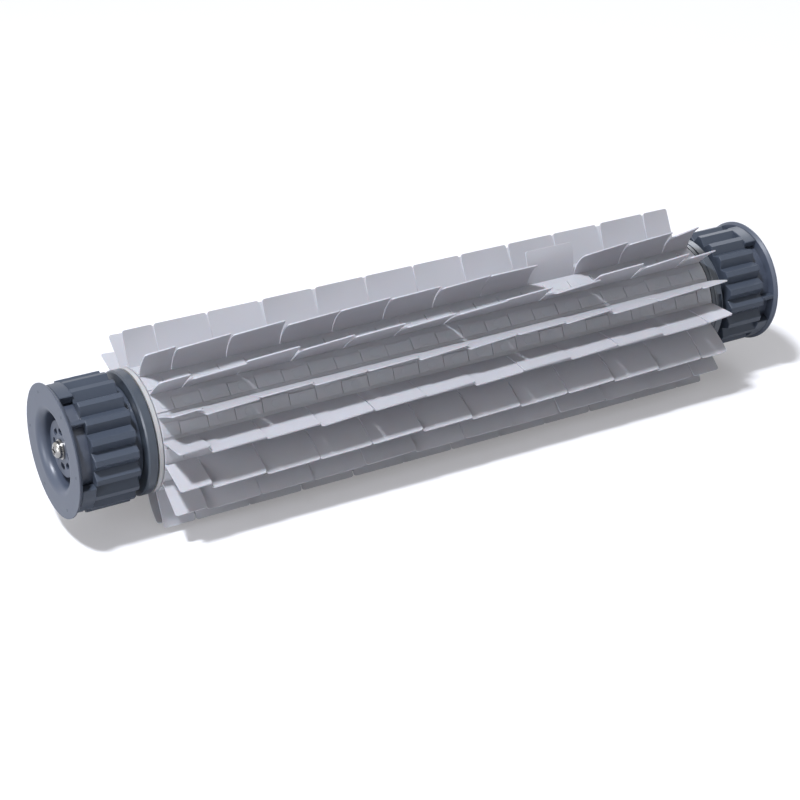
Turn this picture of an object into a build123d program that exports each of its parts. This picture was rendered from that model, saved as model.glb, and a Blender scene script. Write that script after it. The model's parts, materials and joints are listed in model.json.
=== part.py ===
from build123d import *
import os
from math import cos, radians, sin

# Roller brush of a pool-cleaning robot. The roller's axis is X, +Z is up and the origin is the middle of
# the axis. Angles round the axis start at +Y and rise towards +Z. The roller lies on two rows of blade tips.

# Angles
full_turn = 360.0
quarter_turn = 90.0
top = quarter_turn

# Brush sleeve: soft sheet round the tube with rows of slit blades
sleeve_length = 302.0
sheet_thickness = 1.8
blade_rows = 16
blade_tip_radius = 45.5
blade_root_thickness = 1.7
blade_tip_thickness = 1.0
blade_strips = 3
blade_lean = 7.0
blade_corner_radius = 1.5
blade_corner_relief = 0.4
flap_width = 27.1
slits_per_row = 11
slit_width = 0.6
slit_floor_height = 0.8

# Core tube
tube_radius = 27.5
tube_wall = 3.0
tube_overhang = 0.5
stretch_clearance = 0.05

# End plug
plug_depth = 25.0
plug_wall = 3.5
plug_floor = 6.0
plug_clearance = 0.05
journal_radius = 20.0
drive_radius = 14.0
drive_sides = 6
drive_clearance = 0.1
post_radius = 5.0
screw_hole_depth = 18.0

# Bearing bush and thrust washer
bush_rise = 1.5
bush_width = 4.9
bush_chamfer = 0.7
running_clearance = 0.05
end_play = 0.3
key_length = 10.0
key_width = 3.0
key_corner_radius = 1.0
key_depth = 1.4
key_angle = 19.4
washer_thickness = 1.8
washer_clearance = 0.3

# Track pulley
teeth = 20
tooth_tip_radius = 30.0
tooth_root_radius = 27.4
tooth_tip_width = 2.6
tooth_root_width = 11.8
tooth_length = 20.9
tooth_phase = 99.4
drum_wall = 2.0
drum_web = 3.0
collar_radius = 23.0
collar_length = 4.0
lug_radius = 29.8
lug_step = 0.6
lug_length = 6.4
lug_count = 3
lug_angle = top
lug_arc = 31.0
rib_angle = 133.0
rib_arc = 5.0

# End cap
flange_radius = 31.0
flange_thickness = 1.9
flange_edge = 0.6
flange_taper = 1.2
spigot_clearance = 0.3
spigot_engagement = 3.0
bowl_radius = 17.0
bowl_depth = 10.0
bowl_lip_radius = 4.0
bowl_wall = 2.0
hub_radius = 13.0
hub_wall = 2.0
hub_sink = 4.2
hub_chamfer = 0.6
web_thickness = 2.5
window_count = 8
window_ring_radius = 8.4
window_length = 4.4
window_width = 2.8

# Cap screw and its washer
screw_radius = 2.0
screw_length = 20.0
screw_tip_chamfer = 1.0
screw_head_radius = 4.0
screw_head_height = 2.8
screw_head_rim = 1.2
screw_head_bevel = 1.8
screw_clearance = 0.3
thread_clearance = 0.05
screw_washer_radius = 4.7
screw_washer_thickness = 0.8

# The far end carries the same pieces, turned end for end and then by this angle round the axis
far_end_turn = 9.4

# Places along the axis at the left end, from the brush outwards
sleeve_x = -sleeve_length / 2
tube_x = sleeve_x - tube_overhang
washer_x = tube_x - washer_thickness
journal_x = washer_x - bush_width - 2 * end_play
collar_x = journal_x - collar_length
web_x = collar_x - drum_web
tooth_x = collar_x - tooth_length
lug_x = tooth_x - lug_length
face_x = lug_x - flange_thickness
bowl_floor_x = face_x + bowl_depth
hub_x = face_x + hub_sink
post_x = hub_x + web_thickness
head_x = hub_x - screw_washer_thickness
head_top_x = head_x - screw_head_height

# Radii that follow from the pieces they fit
drum_bore_radius = tooth_root_radius - drum_wall
spigot_radius = drum_bore_radius - spigot_clearance
tube_bore_radius = tube_radius - tube_wall
plug_radius = tube_bore_radius - plug_clearance
sheet_bore_radius = tube_radius + stretch_clearance
sheet_radius = sheet_bore_radius + sheet_thickness
bush_radius = tube_radius + bush_rise
screw_way_radius = screw_radius + screw_clearance


def ring_profile(start, end, inner, outer, mode=Mode.ADD):
    """Rectangle of a ring's section: axial start and end, inner and outer radius."""
    with Locations(((start + end) / 2, (inner + outer) / 2)):
        Rectangle(end - start, outer - inner, mode=mode)


def outwards(angle):
    """Direction away from the roller's axis at the angle."""
    return Vector(0, cos(radians(angle)), sin(radians(angle)))


# Core tube
with BuildPart() as core_tube:
    with BuildSketch(Plane.XY):
        ring_profile(tube_x, -tube_x, tube_bore_radius, tube_radius)
    revolve(axis=Axis.X)

# Brush sleeve: sheet, blades that lean away from the top, slits and rounded end corners
row_step = full_turn / blade_rows
slit_places = [(i - (slits_per_row - 1) / 2) * flap_width for i in range(slits_per_row)]
clear_radius = blade_tip_radius + blade_corner_radius
with BuildPart() as brush_sleeve:
    with BuildSketch(Plane.XY):
        ring_profile(sleeve_x, -sleeve_x, sheet_bore_radius, sheet_radius)
    revolve(axis=Axis.X)
    for row in range(blade_rows):
        from_top = (row - (blade_rows - 1) / 2) * row_step
        lean = blade_lean * cos(radians(from_top / 2)) * (1 if from_top > 0 else -1)
        foot = Vector((sheet_bore_radius + sheet_radius) / 2, 0)
        tip = Vector(blade_tip_radius, 0).rotate(Axis.Z, lean)
        with BuildSketch(Plane((sleeve_x, 0, 0), x_dir=outwards(top + from_top), z_dir=(1, 0, 0))):
            with BuildLine():
                bend = TangentArc(foot, tip, tangent=(1, 0), mode=Mode.PRIVATE)
                one_side = []
                other_side = []
                for strip in range(blade_strips + 1):
                    rise = strip / blade_strips
                    thickness = blade_root_thickness + rise * (blade_tip_thickness - blade_root_thickness)
                    half_across = (bend % rise).rotate(Axis.Z, quarter_turn) * (thickness / 2)
                    one_side.append(bend @ rise + half_across)
                    other_side.append(bend @ rise - half_across)
                Polyline(*one_side, *reversed(other_side), close=True)
            make_face()
        extrude(amount=sleeve_length)
    for x in slit_places:
        with BuildSketch(Plane.YZ.offset(x - slit_width / 2)):
            Circle(clear_radius)
            Circle(sheet_radius + slit_floor_height, mode=Mode.SUBTRACT)
        extrude(amount=slit_width, mode=Mode.SUBTRACT)
    corner_x = sleeve_x + blade_corner_radius
    corner_height = blade_tip_radius - blade_corner_radius + blade_corner_relief
    with BuildSketch(Plane.XY):
        ring_profile(sleeve_x, corner_x, corner_height, clear_radius)
        ring_profile(-corner_x, -sleeve_x, corner_height, clear_radius)
        with Locations((corner_x, corner_height), (-corner_x, corner_height)):
            Circle(blade_corner_radius, mode=Mode.SUBTRACT)
    revolve(axis=Axis.X, mode=Mode.SUBTRACT)

# End plug: cup in the tube, journal for the bush, hexagon for the drum and post for the screw
with BuildPart() as end_plug:
    with BuildSketch(Plane.XY):
        ring_profile(tube_x, tube_x + plug_depth, 0, plug_radius)
        ring_profile(tube_x + plug_floor, tube_x + plug_depth, 0, plug_radius - plug_wall, Mode.SUBTRACT)
        ring_profile(journal_x, tube_x, 0, journal_radius)
        ring_profile(post_x, journal_x, 0, post_radius)
    revolve(axis=Axis.X)
    with BuildSketch(Plane.YZ.offset(web_x)):
        RegularPolygon(drive_radius, drive_sides)
    extrude(amount=journal_x - web_x)
    with BuildSketch(Plane.YZ.offset(post_x)):
        Circle(screw_radius + thread_clearance)
    extrude(amount=screw_hole_depth, mode=Mode.SUBTRACT)

# Thrust washer
with BuildPart() as thrust_washer:
    with BuildSketch(Plane.XY):
        ring_profile(washer_x, tube_x, journal_radius + washer_clearance, bush_radius)
    revolve(axis=Axis.X)

# Bearing bush, with the pocket that keeps it from turning in the side plate
with BuildPart() as bearing_bush:
    with BuildSketch(Plane.XY) as bush_section:
        bush_bore_radius = journal_radius + running_clearance
        ring_profile(journal_x + end_play, washer_x - end_play, bush_bore_radius, bush_radius)
        chamfer(bush_section.vertices().group_by(Axis.Y)[-1], bush_chamfer)
    revolve(axis=Axis.X)
    key_centre = Vector((journal_x + washer_x) / 2, 0, 0) + outwards(key_angle) * bush_radius
    with BuildSketch(Plane(key_centre, x_dir=(1, 0, 0), z_dir=outwards(key_angle))):
        RectangleRounded(key_width, key_length, key_corner_radius)
    extrude(amount=-key_depth, mode=Mode.SUBTRACT)

# Track pulley: toothed drum, web and collar at its back, lugs and ribs at its front
with BuildPart() as track_pulley:
    with BuildSketch(Plane.YZ.offset(tooth_x)):
        Circle(tooth_root_radius)
        with PolarLocations(0, teeth, start_angle=tooth_phase):
            Polygon(
                (drum_bore_radius, -tooth_root_width / 2),
                (tooth_tip_radius, -tooth_tip_width / 2),
                (tooth_tip_radius, tooth_tip_width / 2),
                (drum_bore_radius, tooth_root_width / 2),
                align=None,
            )
    extrude(amount=tooth_length)
    with BuildSketch(Plane.YZ.offset(tooth_x)):
        Circle(drum_bore_radius)
    extrude(amount=web_x - tooth_x, mode=Mode.SUBTRACT)
    with BuildSketch(Plane.YZ.offset(collar_x)):
        Circle(collar_radius)
    extrude(amount=collar_length)
    with BuildSketch(Plane.YZ.offset(web_x)):
        RegularPolygon(drive_radius + drive_clearance, drive_sides)
    extrude(amount=journal_x - web_x, mode=Mode.SUBTRACT)
    for middle, arc in ((lug_angle, lug_arc), (rib_angle, rib_arc)):
        for lug in range(lug_count):
            start_angle = middle - arc / 2 + lug * full_turn / lug_count
            with BuildSketch(Plane.XY.rotated((start_angle, 0, 0))):
                ring_profile(lug_x, tooth_x, drum_bore_radius + lug_step, lug_radius)
            revolve(axis=Axis.X, revolution_arc=arc)

# End cap: flange with a tapered back, spigot in the drum, and a ring-shaped bowl round a pierced hub
with BuildPart() as end_cap:
    with BuildSketch(Plane.XY) as cap_section:
        with BuildLine():
            cup_radius = bowl_radius + bowl_wall
            cup_x = bowl_floor_x + bowl_wall
            spigot_x = tooth_x + spigot_engagement
            hub_bore_radius = hub_radius - hub_wall
            Polyline(
                (face_x, bowl_radius),
                (face_x, flange_radius),
                (face_x + flange_edge, flange_radius),
                (lug_x, flange_radius - flange_taper),
                (lug_x, spigot_radius),
                (spigot_x, spigot_radius),
                (spigot_x, cup_radius),
                (cup_x, cup_radius),
                (cup_x, hub_bore_radius),
                (post_x, hub_bore_radius),
                (post_x, screw_way_radius),
                (hub_x, screw_way_radius),
                (hub_x, hub_radius),
                (bowl_floor_x, hub_radius),
                (bowl_floor_x, bowl_radius),
                close=True,
            )
        make_face()
        corners = cap_section.vertices()
        fillet(corners.sort_by_distance((face_x, bowl_radius))[0], bowl_lip_radius)
        chamfer(corners.sort_by_distance((hub_x, hub_radius))[0], hub_chamfer)
    revolve(axis=Axis.X)
    with BuildSketch(Plane.YZ.offset(hub_x)):
        with PolarLocations(window_ring_radius, window_count):
            SlotOverall(window_length, window_width, rotation=quarter_turn)
    extrude(amount=web_thickness, mode=Mode.SUBTRACT)

# Washer under the screw head
with BuildPart() as screw_washer:
    with BuildSketch(Plane.XY):
        ring_profile(head_x, hub_x, screw_way_radius, screw_washer_radius)
    revolve(axis=Axis.X)

# Cap screw with a raised head
with BuildPart() as cap_screw:
    with BuildSketch(Plane.XY):
        with BuildLine():
            Polyline(
                (head_top_x, 0),
                (head_top_x, screw_head_radius - screw_head_bevel),
                (head_x - screw_head_rim, screw_head_radius),
                (head_x, screw_head_radius),
                (head_x, screw_radius),
                (head_x + screw_length - screw_tip_chamfer, screw_radius),
                (head_x + screw_length, screw_radius - screw_tip_chamfer),
                (head_x + screw_length, 0),
                close=True,
            )
        make_face()
    revolve(axis=Axis.X)

# Hand over the middle pieces, then each end piece at the left and turned round to the right
os.makedirs("parts", exist_ok=True)
core_tube.part.label = "core_tube"
export_step(core_tube.part, "parts/core_tube.step")
brush_sleeve.part.label = "brush_sleeve"
export_step(brush_sleeve.part, "parts/brush_sleeve.step")
end_pieces = {
    "end_plug": end_plug,
    "thrust_washer": thrust_washer,
    "bearing_bush": bearing_bush,
    "track_pulley": track_pulley,
    "end_cap": end_cap,
    "screw_washer": screw_washer,
    "cap_screw": cap_screw,
}
for name, left_piece in end_pieces.items():
    with BuildPart() as right_piece:
        add(left_piece.part, rotation=(far_end_turn, 0, full_turn / 2))
    for side, piece in (("left", left_piece), ("right", right_piece)):
        piece.part.label = f"{side}_{name}"
        export_step(piece.part, f"parts/{side}_{name}.step")
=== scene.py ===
"""Looks of a pool robot's roller brush: soft slit blades on a tube between two toothed track pulleys."""

import json
import logging
import math
import random
from dataclasses import dataclass, field
from enum import Enum

import bmesh
import bpy
from mathutils import Matrix, Vector


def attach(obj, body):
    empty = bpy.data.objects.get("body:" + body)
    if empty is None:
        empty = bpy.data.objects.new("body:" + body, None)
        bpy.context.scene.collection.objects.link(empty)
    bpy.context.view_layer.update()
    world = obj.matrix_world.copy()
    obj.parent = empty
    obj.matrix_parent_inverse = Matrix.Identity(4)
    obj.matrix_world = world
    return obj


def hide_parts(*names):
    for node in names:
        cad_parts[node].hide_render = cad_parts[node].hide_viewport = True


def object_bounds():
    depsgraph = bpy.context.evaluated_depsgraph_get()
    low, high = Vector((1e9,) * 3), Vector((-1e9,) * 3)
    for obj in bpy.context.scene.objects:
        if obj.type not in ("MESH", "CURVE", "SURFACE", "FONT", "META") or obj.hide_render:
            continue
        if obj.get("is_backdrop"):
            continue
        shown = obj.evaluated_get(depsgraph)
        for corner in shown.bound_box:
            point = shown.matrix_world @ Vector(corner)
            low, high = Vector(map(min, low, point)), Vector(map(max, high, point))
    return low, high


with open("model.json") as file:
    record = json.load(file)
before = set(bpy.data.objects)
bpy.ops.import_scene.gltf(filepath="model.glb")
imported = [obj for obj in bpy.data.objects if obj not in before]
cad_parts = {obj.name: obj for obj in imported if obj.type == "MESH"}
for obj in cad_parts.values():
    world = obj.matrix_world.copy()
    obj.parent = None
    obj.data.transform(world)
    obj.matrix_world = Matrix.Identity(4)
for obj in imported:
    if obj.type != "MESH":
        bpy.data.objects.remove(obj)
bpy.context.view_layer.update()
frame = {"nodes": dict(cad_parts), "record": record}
MM = 0.001
FULL_TURN = 2 * math.pi
TOP = math.radians(90)
FAR_END_TURN = math.radians(9.4)
PLATE_EDGE = math.radians(45)
log = logging.getLogger("roller_brush")


class End(Enum):
    """The two ends of the roller; the far end's pieces are the near ones turned end for end."""

    LEFT = "left"
    RIGHT = "right"

    def placement(self) -> Matrix:
        """Turn from the left end's place to this end's."""
        if self is End.LEFT:
            return Matrix.Identity(4)
        return Matrix.Rotation(FAR_END_TURN, 4, "X") @ Matrix.Rotation(math.pi, 4, "Z")

    def node(self, piece: str) -> str:
        """Name of this end's CAD node of a piece."""
        return f"{self.value}_{piece}"


def linear(hex_colour: str) -> tuple[float, float, float, float]:
    """Turn an sRGB hex colour to linear light.

    Args:
        hex_colour: six hex digits after a hash.

    Returns:
        Red, green, blue and an alpha of one.
    """
    parts = [int(hex_colour[i : i + 2], 16) / 255 for i in (1, 3, 5)]
    lights = [p / 12.92 if p <= 0.04045 else ((p + 0.055) / 1.055) ** 2.4 for p in parts]
    return (*lights, 1.0)


def add_node(
    tree: bpy.types.NodeTree, kind: str, links: dict | None = None, **settings: object
) -> bpy.types.Node:
    """Add a node, set its sockets and properties and link its inputs.

    Args:
        tree: node tree that takes the node.
        kind: Blender's class name of the node.
        links: input name or number to the output socket that feeds it.
        settings: properties by name; `inputs` is a dict of socket values.

    Returns:
        The new node.
    """
    node = tree.nodes.new(kind)
    for name, value in settings.pop("inputs", {}).items():
        node.inputs[name].default_value = value
    for name, value in settings.items():
        setattr(node, name, value)
    for name, output in (links or {}).items():
        tree.links.new(output, node.inputs[name])
    return node


def new_material(name: str) -> tuple[bpy.types.Material, bpy.types.NodeTree, bpy.types.Node]:
    """Make an empty node material.

    Args:
        name: the material's name.

    Returns:
        The material, its tree and its output node.
    """
    material = bpy.data.materials.new(name)
    material.use_nodes = True
    tree = material.node_tree
    tree.nodes.clear()
    return material, tree, add_node(tree, "ShaderNodeOutputMaterial")


@dataclass(frozen=True)
class Finish:
    """A finish by the name of its material; each is built once."""

    name: str

    def build(self) -> bpy.types.Material:
        """Build the material."""
        raise NotImplementedError

    def material(self) -> bpy.types.Material:
        """The finish's one material, built at its first use."""
        return bpy.data.materials.get(self.name) or self.build()


@dataclass(frozen=True)
class MouldedFinish(Finish):
    """A moulded plastic: even colour with a faint mottle and the fine grain of the mould."""

    colour: str
    mottle_colour: str
    roughness: float
    ior: float
    grain_mm: float
    grain_depth_mm: float
    mottle_mm: float = 30.0
    subsurface: float = 0.0
    subsurface_mm: float = 1.5
    sheen: float = 0.5

    def build(self) -> bpy.types.Material:
        """Build the material."""
        material, tree, output = new_material(self.name)
        place = add_node(tree, "ShaderNodeTexCoord").outputs["Object"]
        mottle = add_node(
            tree,
            "ShaderNodeTexNoise",
            {"Vector": place},
            inputs={"Scale": 1 / (self.mottle_mm * MM), "Detail": 3.0},
        )
        colour = add_node(
            tree,
            "ShaderNodeMix",
            {0: mottle.outputs["Fac"]},
            data_type="RGBA",
            inputs={6: linear(self.colour), 7: linear(self.mottle_colour)},
        )
        grain = add_node(
            tree,
            "ShaderNodeTexNoise",
            {"Vector": place},
            inputs={"Scale": 1 / (self.grain_mm * MM), "Detail": 2.0},
        )
        bump = add_node(
            tree,
            "ShaderNodeBump",
            {"Height": grain.outputs["Fac"]},
            inputs={"Strength": 1.0, "Distance": self.grain_depth_mm * MM},
        )
        shader = add_node(
            tree,
            "ShaderNodeBsdfPrincipled",
            {"Base Color": colour.outputs[2], "Normal": bump.outputs["Normal"]},
            inputs={
                "Roughness": self.roughness,
                "IOR": self.ior,
                "Specular IOR Level": self.sheen,
                "Subsurface Weight": self.subsurface,
                "Subsurface Scale": self.subsurface_mm * MM,
            },
        )
        tree.links.new(shader.outputs[0], output.inputs["Surface"])
        return material


@dataclass(frozen=True)
class MetalFinish(Finish):
    """A bare metal with a fine irregular polish."""

    colour: str
    roughness: float
    scratch_mm: float
    scratch_depth_mm: float = 0.02

    def build(self) -> bpy.types.Material:
        """Build the material."""
        material, tree, output = new_material(self.name)
        place = add_node(tree, "ShaderNodeTexCoord").outputs["Object"]
        polish = add_node(
            tree,
            "ShaderNodeTexNoise",
            {"Vector": place},
            inputs={"Scale": 1 / (self.scratch_mm * MM), "Detail": 4.0},
        )
        bump = add_node(
            tree,
            "ShaderNodeBump",
            {"Height": polish.outputs["Fac"]},
            inputs={"Strength": 0.5, "Distance": self.scratch_depth_mm * MM},
        )
        shader = add_node(
            tree,
            "ShaderNodeBsdfPrincipled",
            {"Normal": bump.outputs["Normal"]},
            inputs={"Base Color": linear(self.colour), "Metallic": 1.0, "Roughness": self.roughness},
        )
        tree.links.new(shader.outputs[0], output.inputs["Surface"])
        return material


# Soft PVC, compression moulded: pale cool grey with a waxy, nearly matte skin
SOFT_PVC = MouldedFinish(
    name="soft_pvc_moulded_grey",
    colour="#b2b2b7",
    mottle_colour="#acacb1",
    roughness=0.5,
    ior=1.53,
    grain_mm=0.8,
    grain_depth_mm=0.01,
    subsurface=0.1,
)
# The same soft PVC on the flaps' cut faces, coloured paler than the moulded skin so that the thin edges
# show as bright lines, and rougher
CUT_PVC = MouldedFinish(
    name="soft_pvc_cut_pale_grey",
    colour="#c0c1c8",
    mottle_colour="#babbc2",
    roughness=0.6,
    ior=1.53,
    grain_mm=0.4,
    grain_depth_mm=0.01,
    subsurface=0.1,
)
# Glass-filled polypropylene, injection moulded: dark blue grey with a satin sheen
PULLEY_PLASTIC = MouldedFinish(
    name="filled_polypropylene_moulded_slate",
    colour="#434a56",
    mottle_colour="#3f4652",
    roughness=0.36,
    ior=1.49,
    grain_mm=0.7,
    grain_depth_mm=0.012,
    sheen=0.3,
)
# The same polypropylene as the drum, with a finer grain, painted a shade lighter and given more sheen:
# painted reflection that brightens the cap's broad faces where they mirror the pale floor at a slant
CAP_PLASTIC_PAINTED_REFLECTION = MouldedFinish(
    name="filled_polypropylene_painted_reflection",
    colour="#454c5a",
    mottle_colour="#414856",
    roughness=0.38,
    ior=1.49,
    grain_mm=0.7,
    grain_depth_mm=0.008,
    sheen=0.6,
)
# Bearing nylon, injection moulded: a darker slate with a smoother running skin
BUSH_PLASTIC = MouldedFinish(
    name="bearing_nylon_moulded_slate",
    colour="#3f4650",
    mottle_colour="#3b424c",
    roughness=0.28,
    ior=1.53,
    grain_mm=0.7,
    grain_depth_mm=0.008,
)
# Acetal, cut from sheet: opaque greyish white with a silky surface
WASHER_ACETAL = MouldedFinish(
    name="acetal_cut_grey_white",
    colour="#b0afaf",
    mottle_colour="#aaa9a9",
    roughness=0.4,
    ior=1.48,
    grain_mm=0.5,
    grain_depth_mm=0.006,
    subsurface=0.1,
)
# Rigid PVC, extruded: plain matte white
TUBE_PVC = MouldedFinish(
    name="rigid_pvc_extruded_white",
    colour="#d9d9d6",
    mottle_colour="#d2d2ce",
    roughness=0.45,
    ior=1.53,
    grain_mm=0.9,
    grain_depth_mm=0.006,
)
# Stainless steel, cold headed: bright grey with soft forming marks
STAINLESS = MetalFinish(
    name="stainless_steel_cold_headed",
    colour="#a5a3a0",
    roughness=0.26,
    scratch_mm=0.6,
)


def shell_object(
    name: str, bm: bmesh.types.BMesh, smooth_below: float, placement: Matrix | None = None
) -> bpy.types.Object:
    """Close a bmesh into an object at the origin, smooth but for its sharp edges.

    Args:
        name: the object's name.
        bm: the mesh, freed here.
        smooth_below: edges bent less than this angle, in degrees, are shaded smooth.
        placement: turn applied to the mesh.

    Returns:
        The object, linked to the scene.
    """
    bmesh.ops.recalc_face_normals(bm, faces=bm.faces)
    mesh = bpy.data.meshes.new(name)
    bm.to_mesh(mesh)
    bm.free()
    if placement is not None:
        mesh.transform(placement)
    mesh.polygons.foreach_set("use_smooth", [True] * len(mesh.polygons))
    mesh.set_sharp_from_angle(angle=math.radians(smooth_below))
    obj = bpy.data.objects.new(name, mesh)
    bpy.context.scene.collection.objects.link(obj)
    return obj


def polar(x: float, radius: float, angle: float) -> Vector:
    """Point at a place along the roller's axis, a radius and an angle round it."""
    return Vector((x, radius * math.cos(angle), radius * math.sin(angle)))


def curved_plate(
    bm: bmesh.types.BMesh,
    along: tuple[float, float],
    around: tuple[float, float],
    radii: tuple[float, float],
    steps: int,
    edge_round: float,
) -> None:
    """Add a closed plate that follows a cylinder round the axis, with its outer edges rounded.

    Args:
        bm: mesh that takes the plate.
        along: its ends along the axis.
        around: its first and last angle.
        radii: its inner and outer radius.
        steps: faces round the axis.
        edge_round: size of the rounding.
    """
    grid = bmesh.ops.create_grid(bm, x_segments=1, y_segments=steps, size=0.5)
    verts = grid["verts"]
    for vert in verts:
        x = along[0] + (vert.co.x + 0.5) * (along[1] - along[0])
        vert.co = polar(x, radii[0], around[0] + (vert.co.y + 0.5) * (around[1] - around[0]))
    faces = list({f for v in verts for f in v.link_faces})
    raised = bmesh.ops.extrude_face_region(bm, geom=faces, use_keep_orig=True)["geom"]
    top = [g for g in raised if isinstance(g, bmesh.types.BMVert)]
    for vert in top:
        vert.co.yz = vert.co.yz * (radii[1] / radii[0])
    chosen = set(top)
    rim = [e for e in bm.edges if e.verts[0] in chosen and e.verts[1] in chosen]
    rim = [e for e in rim if e.calc_face_angle(0.0) > PLATE_EDGE]
    bmesh.ops.bevel(
        bm,
        geom=rim,
        offset=edge_round,
        segments=1,
        profile=0.5,
        affect="EDGES",
        material=-1,
        clamp_overlap=True,
    )


def grow_loop(
    bm: bmesh.types.BMesh, loop: list[bmesh.types.BMEdge], x: float, radius: float | None = None
) -> list[bmesh.types.BMEdge]:
    """Extrude a loop of edges to a place along the axis and, if given, onto a circle.

    Args:
        bm: mesh that takes the faces.
        loop: edges of the loop.
        x: where the new loop lies along the axis.
        radius: radius of the new loop; none keeps each point's own.

    Returns:
        The new loop's edges.
    """
    new = bmesh.ops.extrude_edge_only(bm, edges=loop)["geom"]
    verts = {g for g in new if isinstance(g, bmesh.types.BMVert)}
    for vert in verts:
        vert.co.x = x
        if radius is not None:
            vert.co.yz = vert.co.yz.normalized() * radius
    return [g for g in new if isinstance(g, bmesh.types.BMEdge) and set(g.verts) <= verts]


@dataclass(frozen=True)
class Bend:
    """How a flap bends, in degrees away from the top: at its root and at its tip.

    The twist turns the left edge towards the front by so much at the tip, and the right edge back.
    The fan turns the flap within its own plane, which opens one slit and closes the other.
    """

    root: float
    tip: float
    twist: float = 0.0
    fan: float = 0.0


@dataclass
class BrushSleeve:
    """The soft sleeve: padded sheet round the tube and rows of drooping blades slit into flaps.

    Rows count from the far bottom round over the top, and flaps from the left. The spreads of chance in a
    flap's lean and fan, `wander` and `fan`, are in degrees.
    """

    sleeve_end: float = 151.0 * MM
    bore: float = 27.55 * MM
    sheet: float = 28.9 * MM
    foot: float = 28.45 * MM
    rows: int = 16
    droop: Bend = Bend(9.0, 22.0, 3.0)
    # Rows set in a way of their own: the two at the bottom are pressed by the floor
    set_rows: dict[int, Bend] = field(
        default_factory=lambda: {
            0: Bend(0.0, -56.0, 3.0),
            7: Bend(16.0, 11.0, 5.0),
            8: Bend(0.0, 41.0, 4.5),
            12: Bend(14.0, 24.0, 3.0),
            15: Bend(0.0, -56.0, 3.0),
        }
    )
    # Flaps pushed out of line, by row and flap
    pushed_flaps: dict[tuple[int, int], Bend] = field(
        default_factory=lambda: {
            (8, 7): Bend(0.0, 44.0, 0.0),
            (8, 8): Bend(-8.0, -32.0, -3.0),
            (8, 9): Bend(0.0, 43.0, 6.0),
            (9, 8): Bend(10.0, 33.0, 5.0),
            (10, 0): Bend(5.0, 12.0, 2.0),
            (11, 0): Bend(4.0, 6.0, 2.0),
            (12, 0): Bend(6.0, 10.0, 2.0),
            (13, 0): Bend(3.0, 5.0, 2.0),
        }
    )
    wander: float = 3.5
    fan: float = 1.0
    seed: int = 5
    flap_width: float = 27.1 * MM
    flap_length: float = 17.5 * MM
    flap_corner: float = 1.2 * MM
    slits: int = 11
    slit: float = 0.5 * MM
    thickness: float = 0.6 * MM
    pad_top: float = 29.4 * MM
    pad_gap: float = 0.4 * MM
    pad_margin: float = 2.4 * MM
    pad_step: float = 0.9 * MM
    pad_round: float = 0.1 * MM
    mark_radius: float = 2.2 * MM
    mark_rise: float = 0.06 * MM
    least_swing: float = 0.01

    def row_angle(self, row: int) -> float:
        """Angle from the top of a blade's root."""
        return (row - (self.rows - 1) / 2) * FULL_TURN / self.rows

    def flap_edges(self) -> list[tuple[float, float]]:
        """Start and end along the axis of each flap in a row."""
        cuts = [(i - (self.slits - 1) / 2) * self.flap_width for i in range(self.slits)]
        starts = [-self.sleeve_end] + [c + self.slit / 2 for c in cuts]
        ends = [c - self.slit / 2 for c in cuts] + [self.sleeve_end]
        return list(zip(starts, ends))

    def flap_bend(self, row: int, flap: int, rng: random.Random) -> Bend:
        """Bend of a flap: its row's droop with a little chance in it, or the way it was pushed.

        Args:
            row: blade row, from the far bottom round over the top.
            flap: place in the row, from the left.
            rng: source of the chance.

        Returns:
            The bend.
        """
        usual = Bend(self.droop.root, self.droop.tip * math.cos(self.row_angle(row) / 2), self.droop.twist)
        usual = self.set_rows.get(row, usual)
        lean, twist, fan = (rng.gauss(0, spread) for spread in (self.wander, self.wander / 3, self.fan))
        chance = Bend(usual.root + lean / 4, usual.tip + lean, usual.twist + twist, fan)
        return self.pushed_flaps.get((row, flap), chance)

    def flap_point(self, row: int, x: float, rise: float, root: float, tip: float) -> Vector:
        """Point on the front of a flap, whose section is an arc.

        Args:
            row: the flap's row.
            x: place along the axis.
            rise: share of the way from root to tip.
            root: turn of the section at the root, from radial.
            tip: turn of the section at the tip.

        Returns:
            The point.
        """
        swing = tip - root if abs(tip - root) > self.least_swing else self.least_swing
        turn = root + swing * rise
        radial = self.foot + self.flap_length * (math.sin(turn) - math.sin(root)) / swing
        sideways = self.flap_length * (math.cos(root) - math.cos(turn)) / swing
        radial += self.thickness / 2 * math.sin(turn)
        sideways -= self.thickness / 2 * math.cos(turn)
        angle = TOP + self.row_angle(row)
        return polar(x, radial, angle) + polar(0.0, sideways, angle + TOP)

    def add_blank(self, bm: bmesh.types.BMesh, width: float) -> list[bmesh.types.BMVert]:
        """Add a flap's flat blank, with its root at -y and rounded corners at its tip.

        Args:
            bm: mesh that takes the blank.
            width: the flap's width.

        Returns:
            The blank's vertices.
        """
        size = Matrix.Diagonal((width, self.flap_length, 1.0, 1.0))
        verts = bmesh.ops.create_grid(bm, x_segments=3, y_segments=8, size=0.5, matrix=size)["verts"]
        corners = [v for v in verts if v.co.y > 0 and len(v.link_edges) == 2]
        rounded = bmesh.ops.bevel(
            bm, geom=corners, offset=self.flap_corner, segments=3, profile=0.5, affect="VERTICES"
        )
        return [v for v in verts if v.is_valid] + [v for v in rounded["verts"] if v not in verts]

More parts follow.
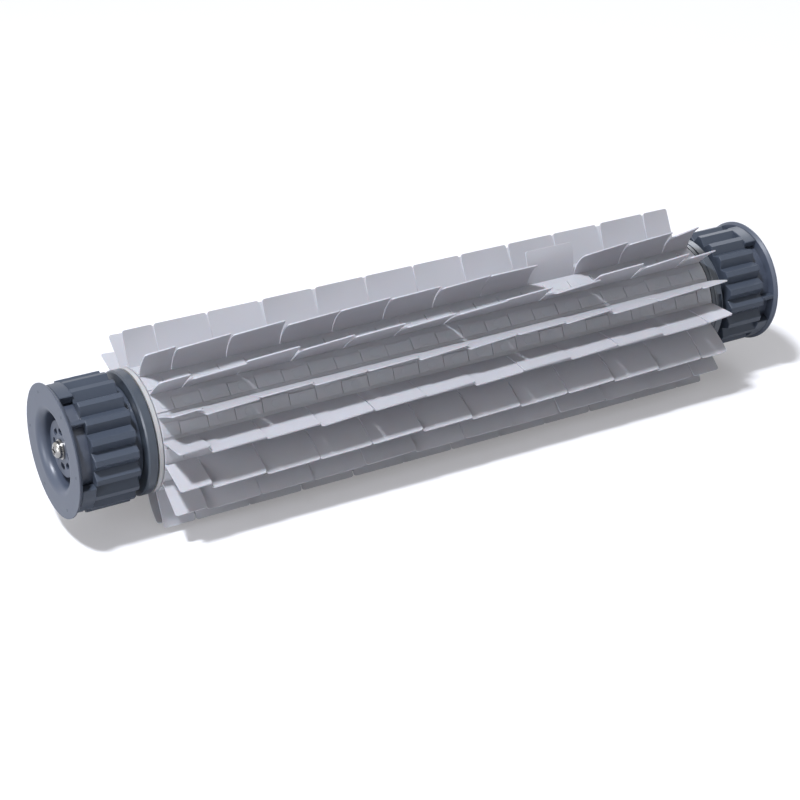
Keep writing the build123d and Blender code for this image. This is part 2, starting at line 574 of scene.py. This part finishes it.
    def add_flap(self, bm: bmesh.types.BMesh, row: int, flap: int, bend: Bend) -> None:
        """Add one flap: a thin plate with pale cut edges that droops away from the top.

        Args:
            bm: mesh that takes the flap.
            row: blade row, from the far bottom round over the top.
            flap: place in the row, from the left.
            bend: how it bends.
        """
        side = math.copysign(1.0, self.row_angle(row))
        start, end = self.flap_edges()[flap]
        fan = 0.0 if flap in (0, self.slits) else math.tan(math.radians(bend.fan))
        verts = self.add_blank(bm, end - start)
        for vert in verts:
            share, rise = vert.co.x / (end - start) + 0.5, vert.co.y / self.flap_length + 0.5
            tip = side * bend.tip + bend.twist * (1 - 2 * share)
            x = start + share * (end - start) + rise * self.flap_length * fan
            vert.co = self.flap_point(row, x, rise, math.radians(side * bend.root), math.radians(tip))
        faces = list({f for v in verts for f in v.link_faces})
        around = polar(0.0, 1.0, 2 * TOP + self.row_angle(row))
        bmesh.ops.recalc_face_normals(bm, faces=faces)
        if sum(f.normal.dot(around) for f in faces) > 0:
            bmesh.ops.reverse_faces(bm, faces=faces)
        bmesh.ops.solidify(bm, geom=faces, thickness=-self.thickness)
        skin = set(verts)
        for face in {f for v in verts for f in v.link_faces}:
            # Cut faces take the paler PVC, which makes the thin edges show as bright lines
            face.material_index = 0 if set(face.verts) <= skin else 1

    def add_sheet(self, bm: bmesh.types.BMesh) -> None:
        """Add the sheet's closed ring."""
        corners = [
            bm.verts.new(polar(x, r, 0.0))
            for x, r in (
                (-self.sleeve_end, self.bore),
                (self.sleeve_end, self.bore),
                (self.sleeve_end, self.sheet),
                (-self.sleeve_end, self.sheet),
            )
        ]
        loop = [bm.edges.new((corners[i - 1], corners[i])) for i in range(4)]
        bmesh.ops.spin(bm, geom=loop + corners, axis=(1, 0, 0), angle=FULL_TURN, steps=96, use_merge=True)

    def add_pads(self, bm: bmesh.types.BMesh) -> None:
        """Add the pads on the sheet between the blades, each with a round mark."""
        half = self.flap_width / 2
        grooves = [(i + 0.5) * half for i in range(-self.slits, self.slits)]
        bounds = [-self.sleeve_end] + grooves + [self.sleeve_end]
        step = FULL_TURN / self.rows
        margin = self.pad_margin / self.sheet
        for row in range(self.rows):
            root = TOP + self.row_angle(row)
            for place, (low, high) in enumerate(zip(bounds, bounds[1:])):
                set_back = margin + place % 2 * self.pad_step / self.sheet
                around = (root + set_back, root + step - margin)
                along = (low + self.pad_gap / 2, high - self.pad_gap / 2)
                radii = (self.sheet - self.mark_rise, self.pad_top)
                curved_plate(bm, along, around, radii, 3, self.pad_round)
                if high - low > 3 * self.mark_radius:
                    self.add_mark(bm, (low + high) / 2, sum(around) / 2)

    def add_mark(self, bm: bmesh.types.BMesh, x: float, angle: float) -> None:
        """Add a pad's round mark, a low disc with a sloping rim."""
        disc = bmesh.ops.create_cone(
            bm,
            cap_ends=True,
            segments=14,
            radius1=self.mark_radius,
            radius2=self.mark_radius - self.mark_rise,
            depth=3 * self.mark_rise,
        )["verts"]
        upright = Matrix.Rotation(angle - TOP, 4, "X")
        place = Matrix.Translation(polar(x, self.pad_top - self.mark_rise / 2, angle))
        bmesh.ops.transform(bm, matrix=place @ upright, verts=disc)

    def build(self) -> bpy.types.Object:
        """Build the sleeve as one moulding.

        Returns:
            The sleeve's object, standing for its CAD node.
        """
        bm = bmesh.new()
        self.add_sheet(bm)
        self.add_pads(bm)
        rng = random.Random(self.seed)
        for row in range(self.rows):
            for flap in range(self.slits + 1):
                self.add_flap(bm, row, flap, self.flap_bend(row, flap, rng))
        sleeve = shell_object("brush_sleeve_moulding", bm, 40.0)
        sleeve.data.materials.append(SOFT_PVC.material())
        sleeve.data.materials.append(CUT_PVC.material())
        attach(sleeve, "roller")
        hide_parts("brush_sleeve")
        return sleeve


@dataclass
class TrackPulley:
    """A toothed drum with rounded teeth, its collar at the back and the lugs at its front."""

    end: End
    teeth: int = 20
    phase: float = math.radians(99.4)
    tip: float = 30.0 * MM
    groove: float = 26.6 * MM
    half_tip: float = 1.3 * MM
    ridge: float = math.radians(20)
    bore: float = 25.4 * MM
    collar: float = 23.0 * MM
    drive: float = 14.3 * MM
    tooth_x: float = -183.7 * MM
    collar_x: float = -162.8 * MM
    journal_x: float = -158.8 * MM
    web_x: float = -165.8 * MM
    lug_x: float = -190.1 * MM
    lug_foot: float = 26.0 * MM
    lug_top: float = 29.8 * MM
    tooth_round: float = 0.3 * MM
    end_round: float = 0.35 * MM
    lug_gap: float = 0.05 * MM
    lugs: int = 3
    lug_places: tuple[tuple[float, float], ...] = ((90.0, 31.0), (133.0, 4.0))

    def outline(self, bm: bmesh.types.BMesh) -> list[bmesh.types.BMEdge]:
        """Draw the closed outline of all the teeth at the front of the drum."""
        gap = math.pi / self.teeth
        points = [
            polar(self.tooth_x, self.groove, -gap),
            Vector((self.tooth_x, self.tip, -self.half_tip)),
            Vector((self.tooth_x, self.tip, self.half_tip)),
            polar(self.tooth_x, self.groove, gap),
        ]
        verts = [bm.verts.new(p) for p in points]
        edges = [bm.edges.new(pair) for pair in zip(verts, verts[1:])]
        bmesh.ops.rotate(bm, verts=verts, matrix=Matrix.Rotation(self.phase, 3, "X"))
        bmesh.ops.spin(
            bm, geom=verts + edges, axis=(1, 0, 0), angle=FULL_TURN, steps=self.teeth, use_duplicate=True
        )
        bmesh.ops.remove_doubles(bm, verts=bm.verts, dist=MM / 100)
        return list(bm.edges)

    def build(self) -> bpy.types.Object:
        """Build the drum with its lugs.

        Returns:
            The pulley's object, standing for its CAD node.
        """
        bm = bmesh.new()
        grow_loop(bm, self.outline(bm), self.collar_x)
        ridges = [e for e in bm.edges if e.is_manifold and e.calc_face_angle(0.0) > self.ridge]
        bmesh.ops.bevel(
            bm,
            geom=ridges,
            offset=self.tooth_round,
            segments=2,
            profile=0.5,
            affect="EDGES",
            material=-1,
        )
        rims = [e for e in bm.edges if e.is_boundary]
        front = [e for e in rims if e.verts[0].co.x < (self.tooth_x + self.collar_x) / 2]
        back = [e for e in rims if e not in front]
        mouth = grow_loop(bm, front, self.tooth_x, self.bore)
        web = grow_loop(bm, mouth, self.web_x)
        web_hole = grow_loop(bm, web, self.web_x, self.drive)
        collar = grow_loop(bm, back, self.collar_x, self.collar)
        collar_end = grow_loop(bm, collar, self.journal_x)
        drive_hole = grow_loop(bm, collar_end, self.journal_x, self.drive)
        bmesh.ops.bridge_loops(bm, edges=web_hole + drive_hole)
        bmesh.ops.bevel(
            bm,
            geom=front + back,
            offset=self.end_round,
            segments=2,
            profile=0.5,
            affect="EDGES",
            material=-1,
        )
        for middle, arc in self.lug_places:
            for lug in range(self.lugs):
                start = math.radians(middle - arc / 2) + lug * FULL_TURN / self.lugs
                curved_plate(
                    bm,
                    (self.lug_x + self.lug_gap, self.tooth_x + self.end_round),
                    (start, start + math.radians(arc)),
                    (self.lug_foot, self.lug_top),
                    6,
                    self.end_round,
                )
        pulley = shell_object(self.end.node("pulley_drum"), bm, 18.0, self.end.placement())
        pulley.data.materials.append(PULLEY_PLASTIC.material())
        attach(pulley, "roller")
        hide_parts(self.end.node("track_pulley"))
        return pulley


@dataclass
class CapScrew:
    """A raised-head screw with a cross recess, and its shank."""

    end: End
    top_x: float = -191.4 * MM
    seat_x: float = -188.6 * MM
    point_x: float = -168.6 * MM
    shank: float = 2.0 * MM
    recess_reach: float = 2.0 * MM
    recess_half: float = 0.5 * MM
    recess_depth: float = 1.3 * MM
    dome: tuple[tuple[float, float], ...] = ((0.0, 2.5), (0.25, 3.1), (0.7, 3.6), (1.25, 3.9), (1.7, 4.0))

    def build(self) -> bpy.types.Object:
        """Build the screw.

        Returns:
            The screw's object, standing for its CAD node.
        """
        bm = bmesh.new()
        verts = bmesh.ops.create_grid(bm, x_segments=3, y_segments=3, size=1.0)["verts"]
        corners = [f for f in bm.faces if min(abs(c) for c in f.calc_center_median().xy) > 0.5]
        for vert in verts:
            sizes = [self.recess_reach if abs(c) > 0.5 else self.recess_half for c in vert.co.xy]
            vert.co = (
                self.top_x + self.recess_depth,
                math.copysign(sizes[0], vert.co.x),
                math.copysign(sizes[1], vert.co.y),
            )
        bmesh.ops.delete(bm, geom=corners, context="FACES")
        rim = [e for e in bm.edges if e.is_boundary]
        bmesh.ops.subdivide_edges(bm, edges=rim, cuts=1)
        loop = grow_loop(bm, [e for e in bm.edges if e.is_boundary], self.top_x)
        for drop, radius in self.dome:
            loop = grow_loop(bm, loop, self.top_x + drop * MM, radius * MM)
        rim_radius = self.dome[-1][1] * MM
        for x, radius in ((self.seat_x, rim_radius), (self.seat_x, self.shank), (self.point_x, self.shank)):
            loop = grow_loop(bm, loop, x, radius)
        bmesh.ops.edgeloop_fill(bm, edges=loop)
        screw = shell_object(self.end.node("raised_head_screw"), bm, 40.0, self.end.placement())
        screw.data.materials.append(STAINLESS.material())
        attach(screw, "roller")
        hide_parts(self.end.node("cap_screw"))
        return screw


@dataclass
class EjectorMarks:
    """Six small ring marks that the mould leaves on the flange's face, drawn as proud rings in the darker
    bush plastic: painted shade standing in for the shade in the marks' recesses.
    """

    end: End
    face_x: float = -192.0 * MM
    count: int = 6
    first: float = math.radians(2.0)
    pitch_radius: float = 27.0 * MM
    ring: float = 0.8 * MM
    width: float = 0.3 * MM
    proud: float = 0.08 * MM
    steps: int = 14

    def build(self) -> bpy.types.Object:
        """Build the marks.

        Returns:
            The object of all the rings.
        """
        bm = bmesh.new()
        for mark in range(self.count):
            centre = polar(self.face_x, self.pitch_radius, self.first + mark * FULL_TURN / self.count)
            section = [
                bm.verts.new(centre + Vector((x, radius, 0.0)))
                for x, radius in (
                    (self.proud, self.ring - self.width),
                    (-self.proud, self.ring - self.width / 2),
                    (self.proud, self.ring),
                )
            ]
            edges = [bm.edges.new((section[i - 1], section[i])) for i in range(3)]
            bmesh.ops.spin(
                bm,
                geom=section + edges,
                cent=centre,
                axis=(1, 0, 0),
                angle=FULL_TURN,
                steps=self.steps,
                use_merge=True,
            )
        marks = shell_object(self.end.node("ejector_marks"), bm, 40.0, self.end.placement())
        # The darker bush plastic paints the shade of the recessed marks
        marks.data.materials.append(BUSH_PLASTIC.material())
        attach(marks, "roller")
        return marks


@dataclass(frozen=True)
class Lamp:
    """A square soft lamp that faces the roller: its place and side in metres and its power in watts."""

    name: str
    place: tuple[float, float, float]
    side: float
    power: float

    def hang(self, colour: tuple[float, float, float]) -> None:
        """Hang the lamp.

        Args:
            colour: colour of its light.
        """
        lamp = bpy.data.lights.new(self.name, "AREA")
        lamp.shape = "SQUARE"
        lamp.size = self.side
        lamp.energy = self.power
        lamp.color = colour
        obj = bpy.data.objects.new(self.name, lamp)
        obj.location = self.place
        obj.rotation_mode = "QUATERNION"
        obj.rotation_quaternion = (-Vector(self.place)).to_track_quat("-Z", "Y")
        bpy.context.scene.collection.objects.link(obj)


@dataclass
class Studio:
    """Floor, soft lamps and the camera that sees the roller as the photograph does."""

    eye: tuple[float, float, float] = (-461.6, -769.2, 423.0)
    backward: tuple[float, float, float] = (-0.44996, -0.77431, 0.44496)
    focal_px: float = 2050.0
    image_px: float = 800.0
    sensor_mm: float = 36.0
    floor_side: float = 12.0
    floor_glow: float = 0.25
    fill_light: float = 0.21
    lamp_colour: tuple[float, float, float] = (0.95, 0.98, 1.05)
    lamps: tuple[Lamp, ...] = (
        Lamp("key_lamp", (-1.02, -0.4, 2.26), 0.26, 74.0),
        Lamp("end_lamp", (-2.0, -0.7, 0.55), 1.0, 20.0),
        Lamp("back_lamp", (1.6, 1.2, 1.3), 1.0, 12.0),
    )

    def build(self, floor_height: float) -> None:
        """Set up floor, lamps, world and camera.

        Args:
            floor_height: where the floor lies.
        """
        self.add_floor(floor_height)
        for lamp in self.lamps:
            lamp.hang(self.lamp_colour)
        self.add_world()
        self.add_camera()

    def add_floor(self, height: float) -> None:
        """Lay the pale floor, which glows a little for the camera alone."""
        bm = bmesh.new()
        bmesh.ops.create_grid(bm, x_segments=1, y_segments=1, size=self.floor_side / 2)
        bmesh.ops.translate(bm, verts=bm.verts, vec=(0, 0, height))
        floor = shell_object("studio_floor", bm, 30.0)
        material, tree, output = new_material("paper_matte_white")
        path = add_node(tree, "ShaderNodeLightPath")
        glow = add_node(
            tree,
            "ShaderNodeMapRange",
            {"Value": path.outputs["Is Camera Ray"]},
            inputs={"To Min": 0.0, "To Max": self.floor_glow},
        )
        shader = add_node(
            tree,
            "ShaderNodeBsdfPrincipled",
            {"Emission Strength": glow.outputs[0]},
            inputs={"Base Color": linear("#d2d2d4"), "Roughness": 0.9, "Emission Color": linear("#fffdff")},
        )
        tree.links.new(shader.outputs[0], output.inputs["Surface"])
        floor.data.materials.append(material)
        floor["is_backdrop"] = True

    def add_world(self) -> None:
        """Surround the scene with a dim, even fill light that the camera and reflections see as white."""
        world = bpy.data.worlds.new("studio_white")
        bpy.context.scene.world = world
        world.use_nodes = True
        tree = world.node_tree
        tree.nodes.clear()
        output = add_node(tree, "ShaderNodeOutputWorld")
        path = add_node(tree, "ShaderNodeLightPath")
        seen = add_node(
            tree,
            "ShaderNodeMath",
            {0: path.outputs["Is Camera Ray"], 1: path.outputs["Is Glossy Ray"]},
            operation="MAXIMUM",
        )
        strength = add_node(
            tree,
            "ShaderNodeMapRange",
            {"Value": seen.outputs[0]},
            inputs={"To Min": self.fill_light, "To Max": 1.0},
        )
        light = add_node(
            tree,
            "ShaderNodeBackground",
            {"Strength": strength.outputs[0]},
            inputs={"Color": linear("#ffffff")},
        )
        tree.links.new(light.outputs[0], output.inputs["Surface"])

    def add_camera(self) -> None:
        """Place the camera."""
        camera = bpy.data.cameras.new("photo_camera")
        camera.sensor_width = self.sensor_mm
        camera.lens = self.focal_px / self.image_px * self.sensor_mm
        camera.clip_start = 0.01
        camera.clip_end = 100.0
        obj = bpy.data.objects.new("photo_camera", camera)
        obj.location = Vector(self.eye) * MM
        obj.rotation_mode = "QUATERNION"
        obj.rotation_quaternion = (-Vector(self.backward)).to_track_quat("-Z", "Y")
        bpy.context.scene.collection.objects.link(obj)
        bpy.context.scene.camera = obj
        bpy.context.scene.view_settings.view_transform = "Standard"


def dress_cad(nodes: dict[str, bpy.types.Object]) -> None:
    """Give every CAD node the finish of its material slot.

    Args:
        nodes: CAD nodes by name.
    """
    finishes = {
        "brush_pvc": SOFT_PVC,
        "tube_pvc": TUBE_PVC,
        "pulley_plastic": PULLEY_PLASTIC,
        "bush_plastic": BUSH_PLASTIC,
        "washer_acetal": WASHER_ACETAL,
        "stainless_steel": STAINLESS,
    }
    for row in frame["record"]["subparts"]:
        node = nodes[row["node"]]
        node.data.materials.clear()
        # End caps take the lighter copy of the pulley plastic: painted reflection on the flange face
        finish = CAP_PLASTIC_PAINTED_REFLECTION if row["node"].endswith("end_cap") else finishes[row["material_slot"]]
        node.data.materials.append(finish.material())
        log.info("dressed %s", row["node"])


def main() -> None:
    """Dress the CAD pieces, build the finer ones and set up the studio."""
    logging.basicConfig(level=logging.INFO)
    dress_cad(frame["nodes"])
    sleeve = BrushSleeve().build()
    log.info("built %s with %d faces", sleeve.name, len(sleeve.data.polygons))
    for end in End:
        for piece in (TrackPulley(end), CapScrew(end), EjectorMarks(end)):
            obj = piece.build()
            log.info("built %s with %d faces", obj.name, len(obj.data.polygons))
    Studio().build(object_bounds()[0].z)


if __name__ == "__main__":
    main()
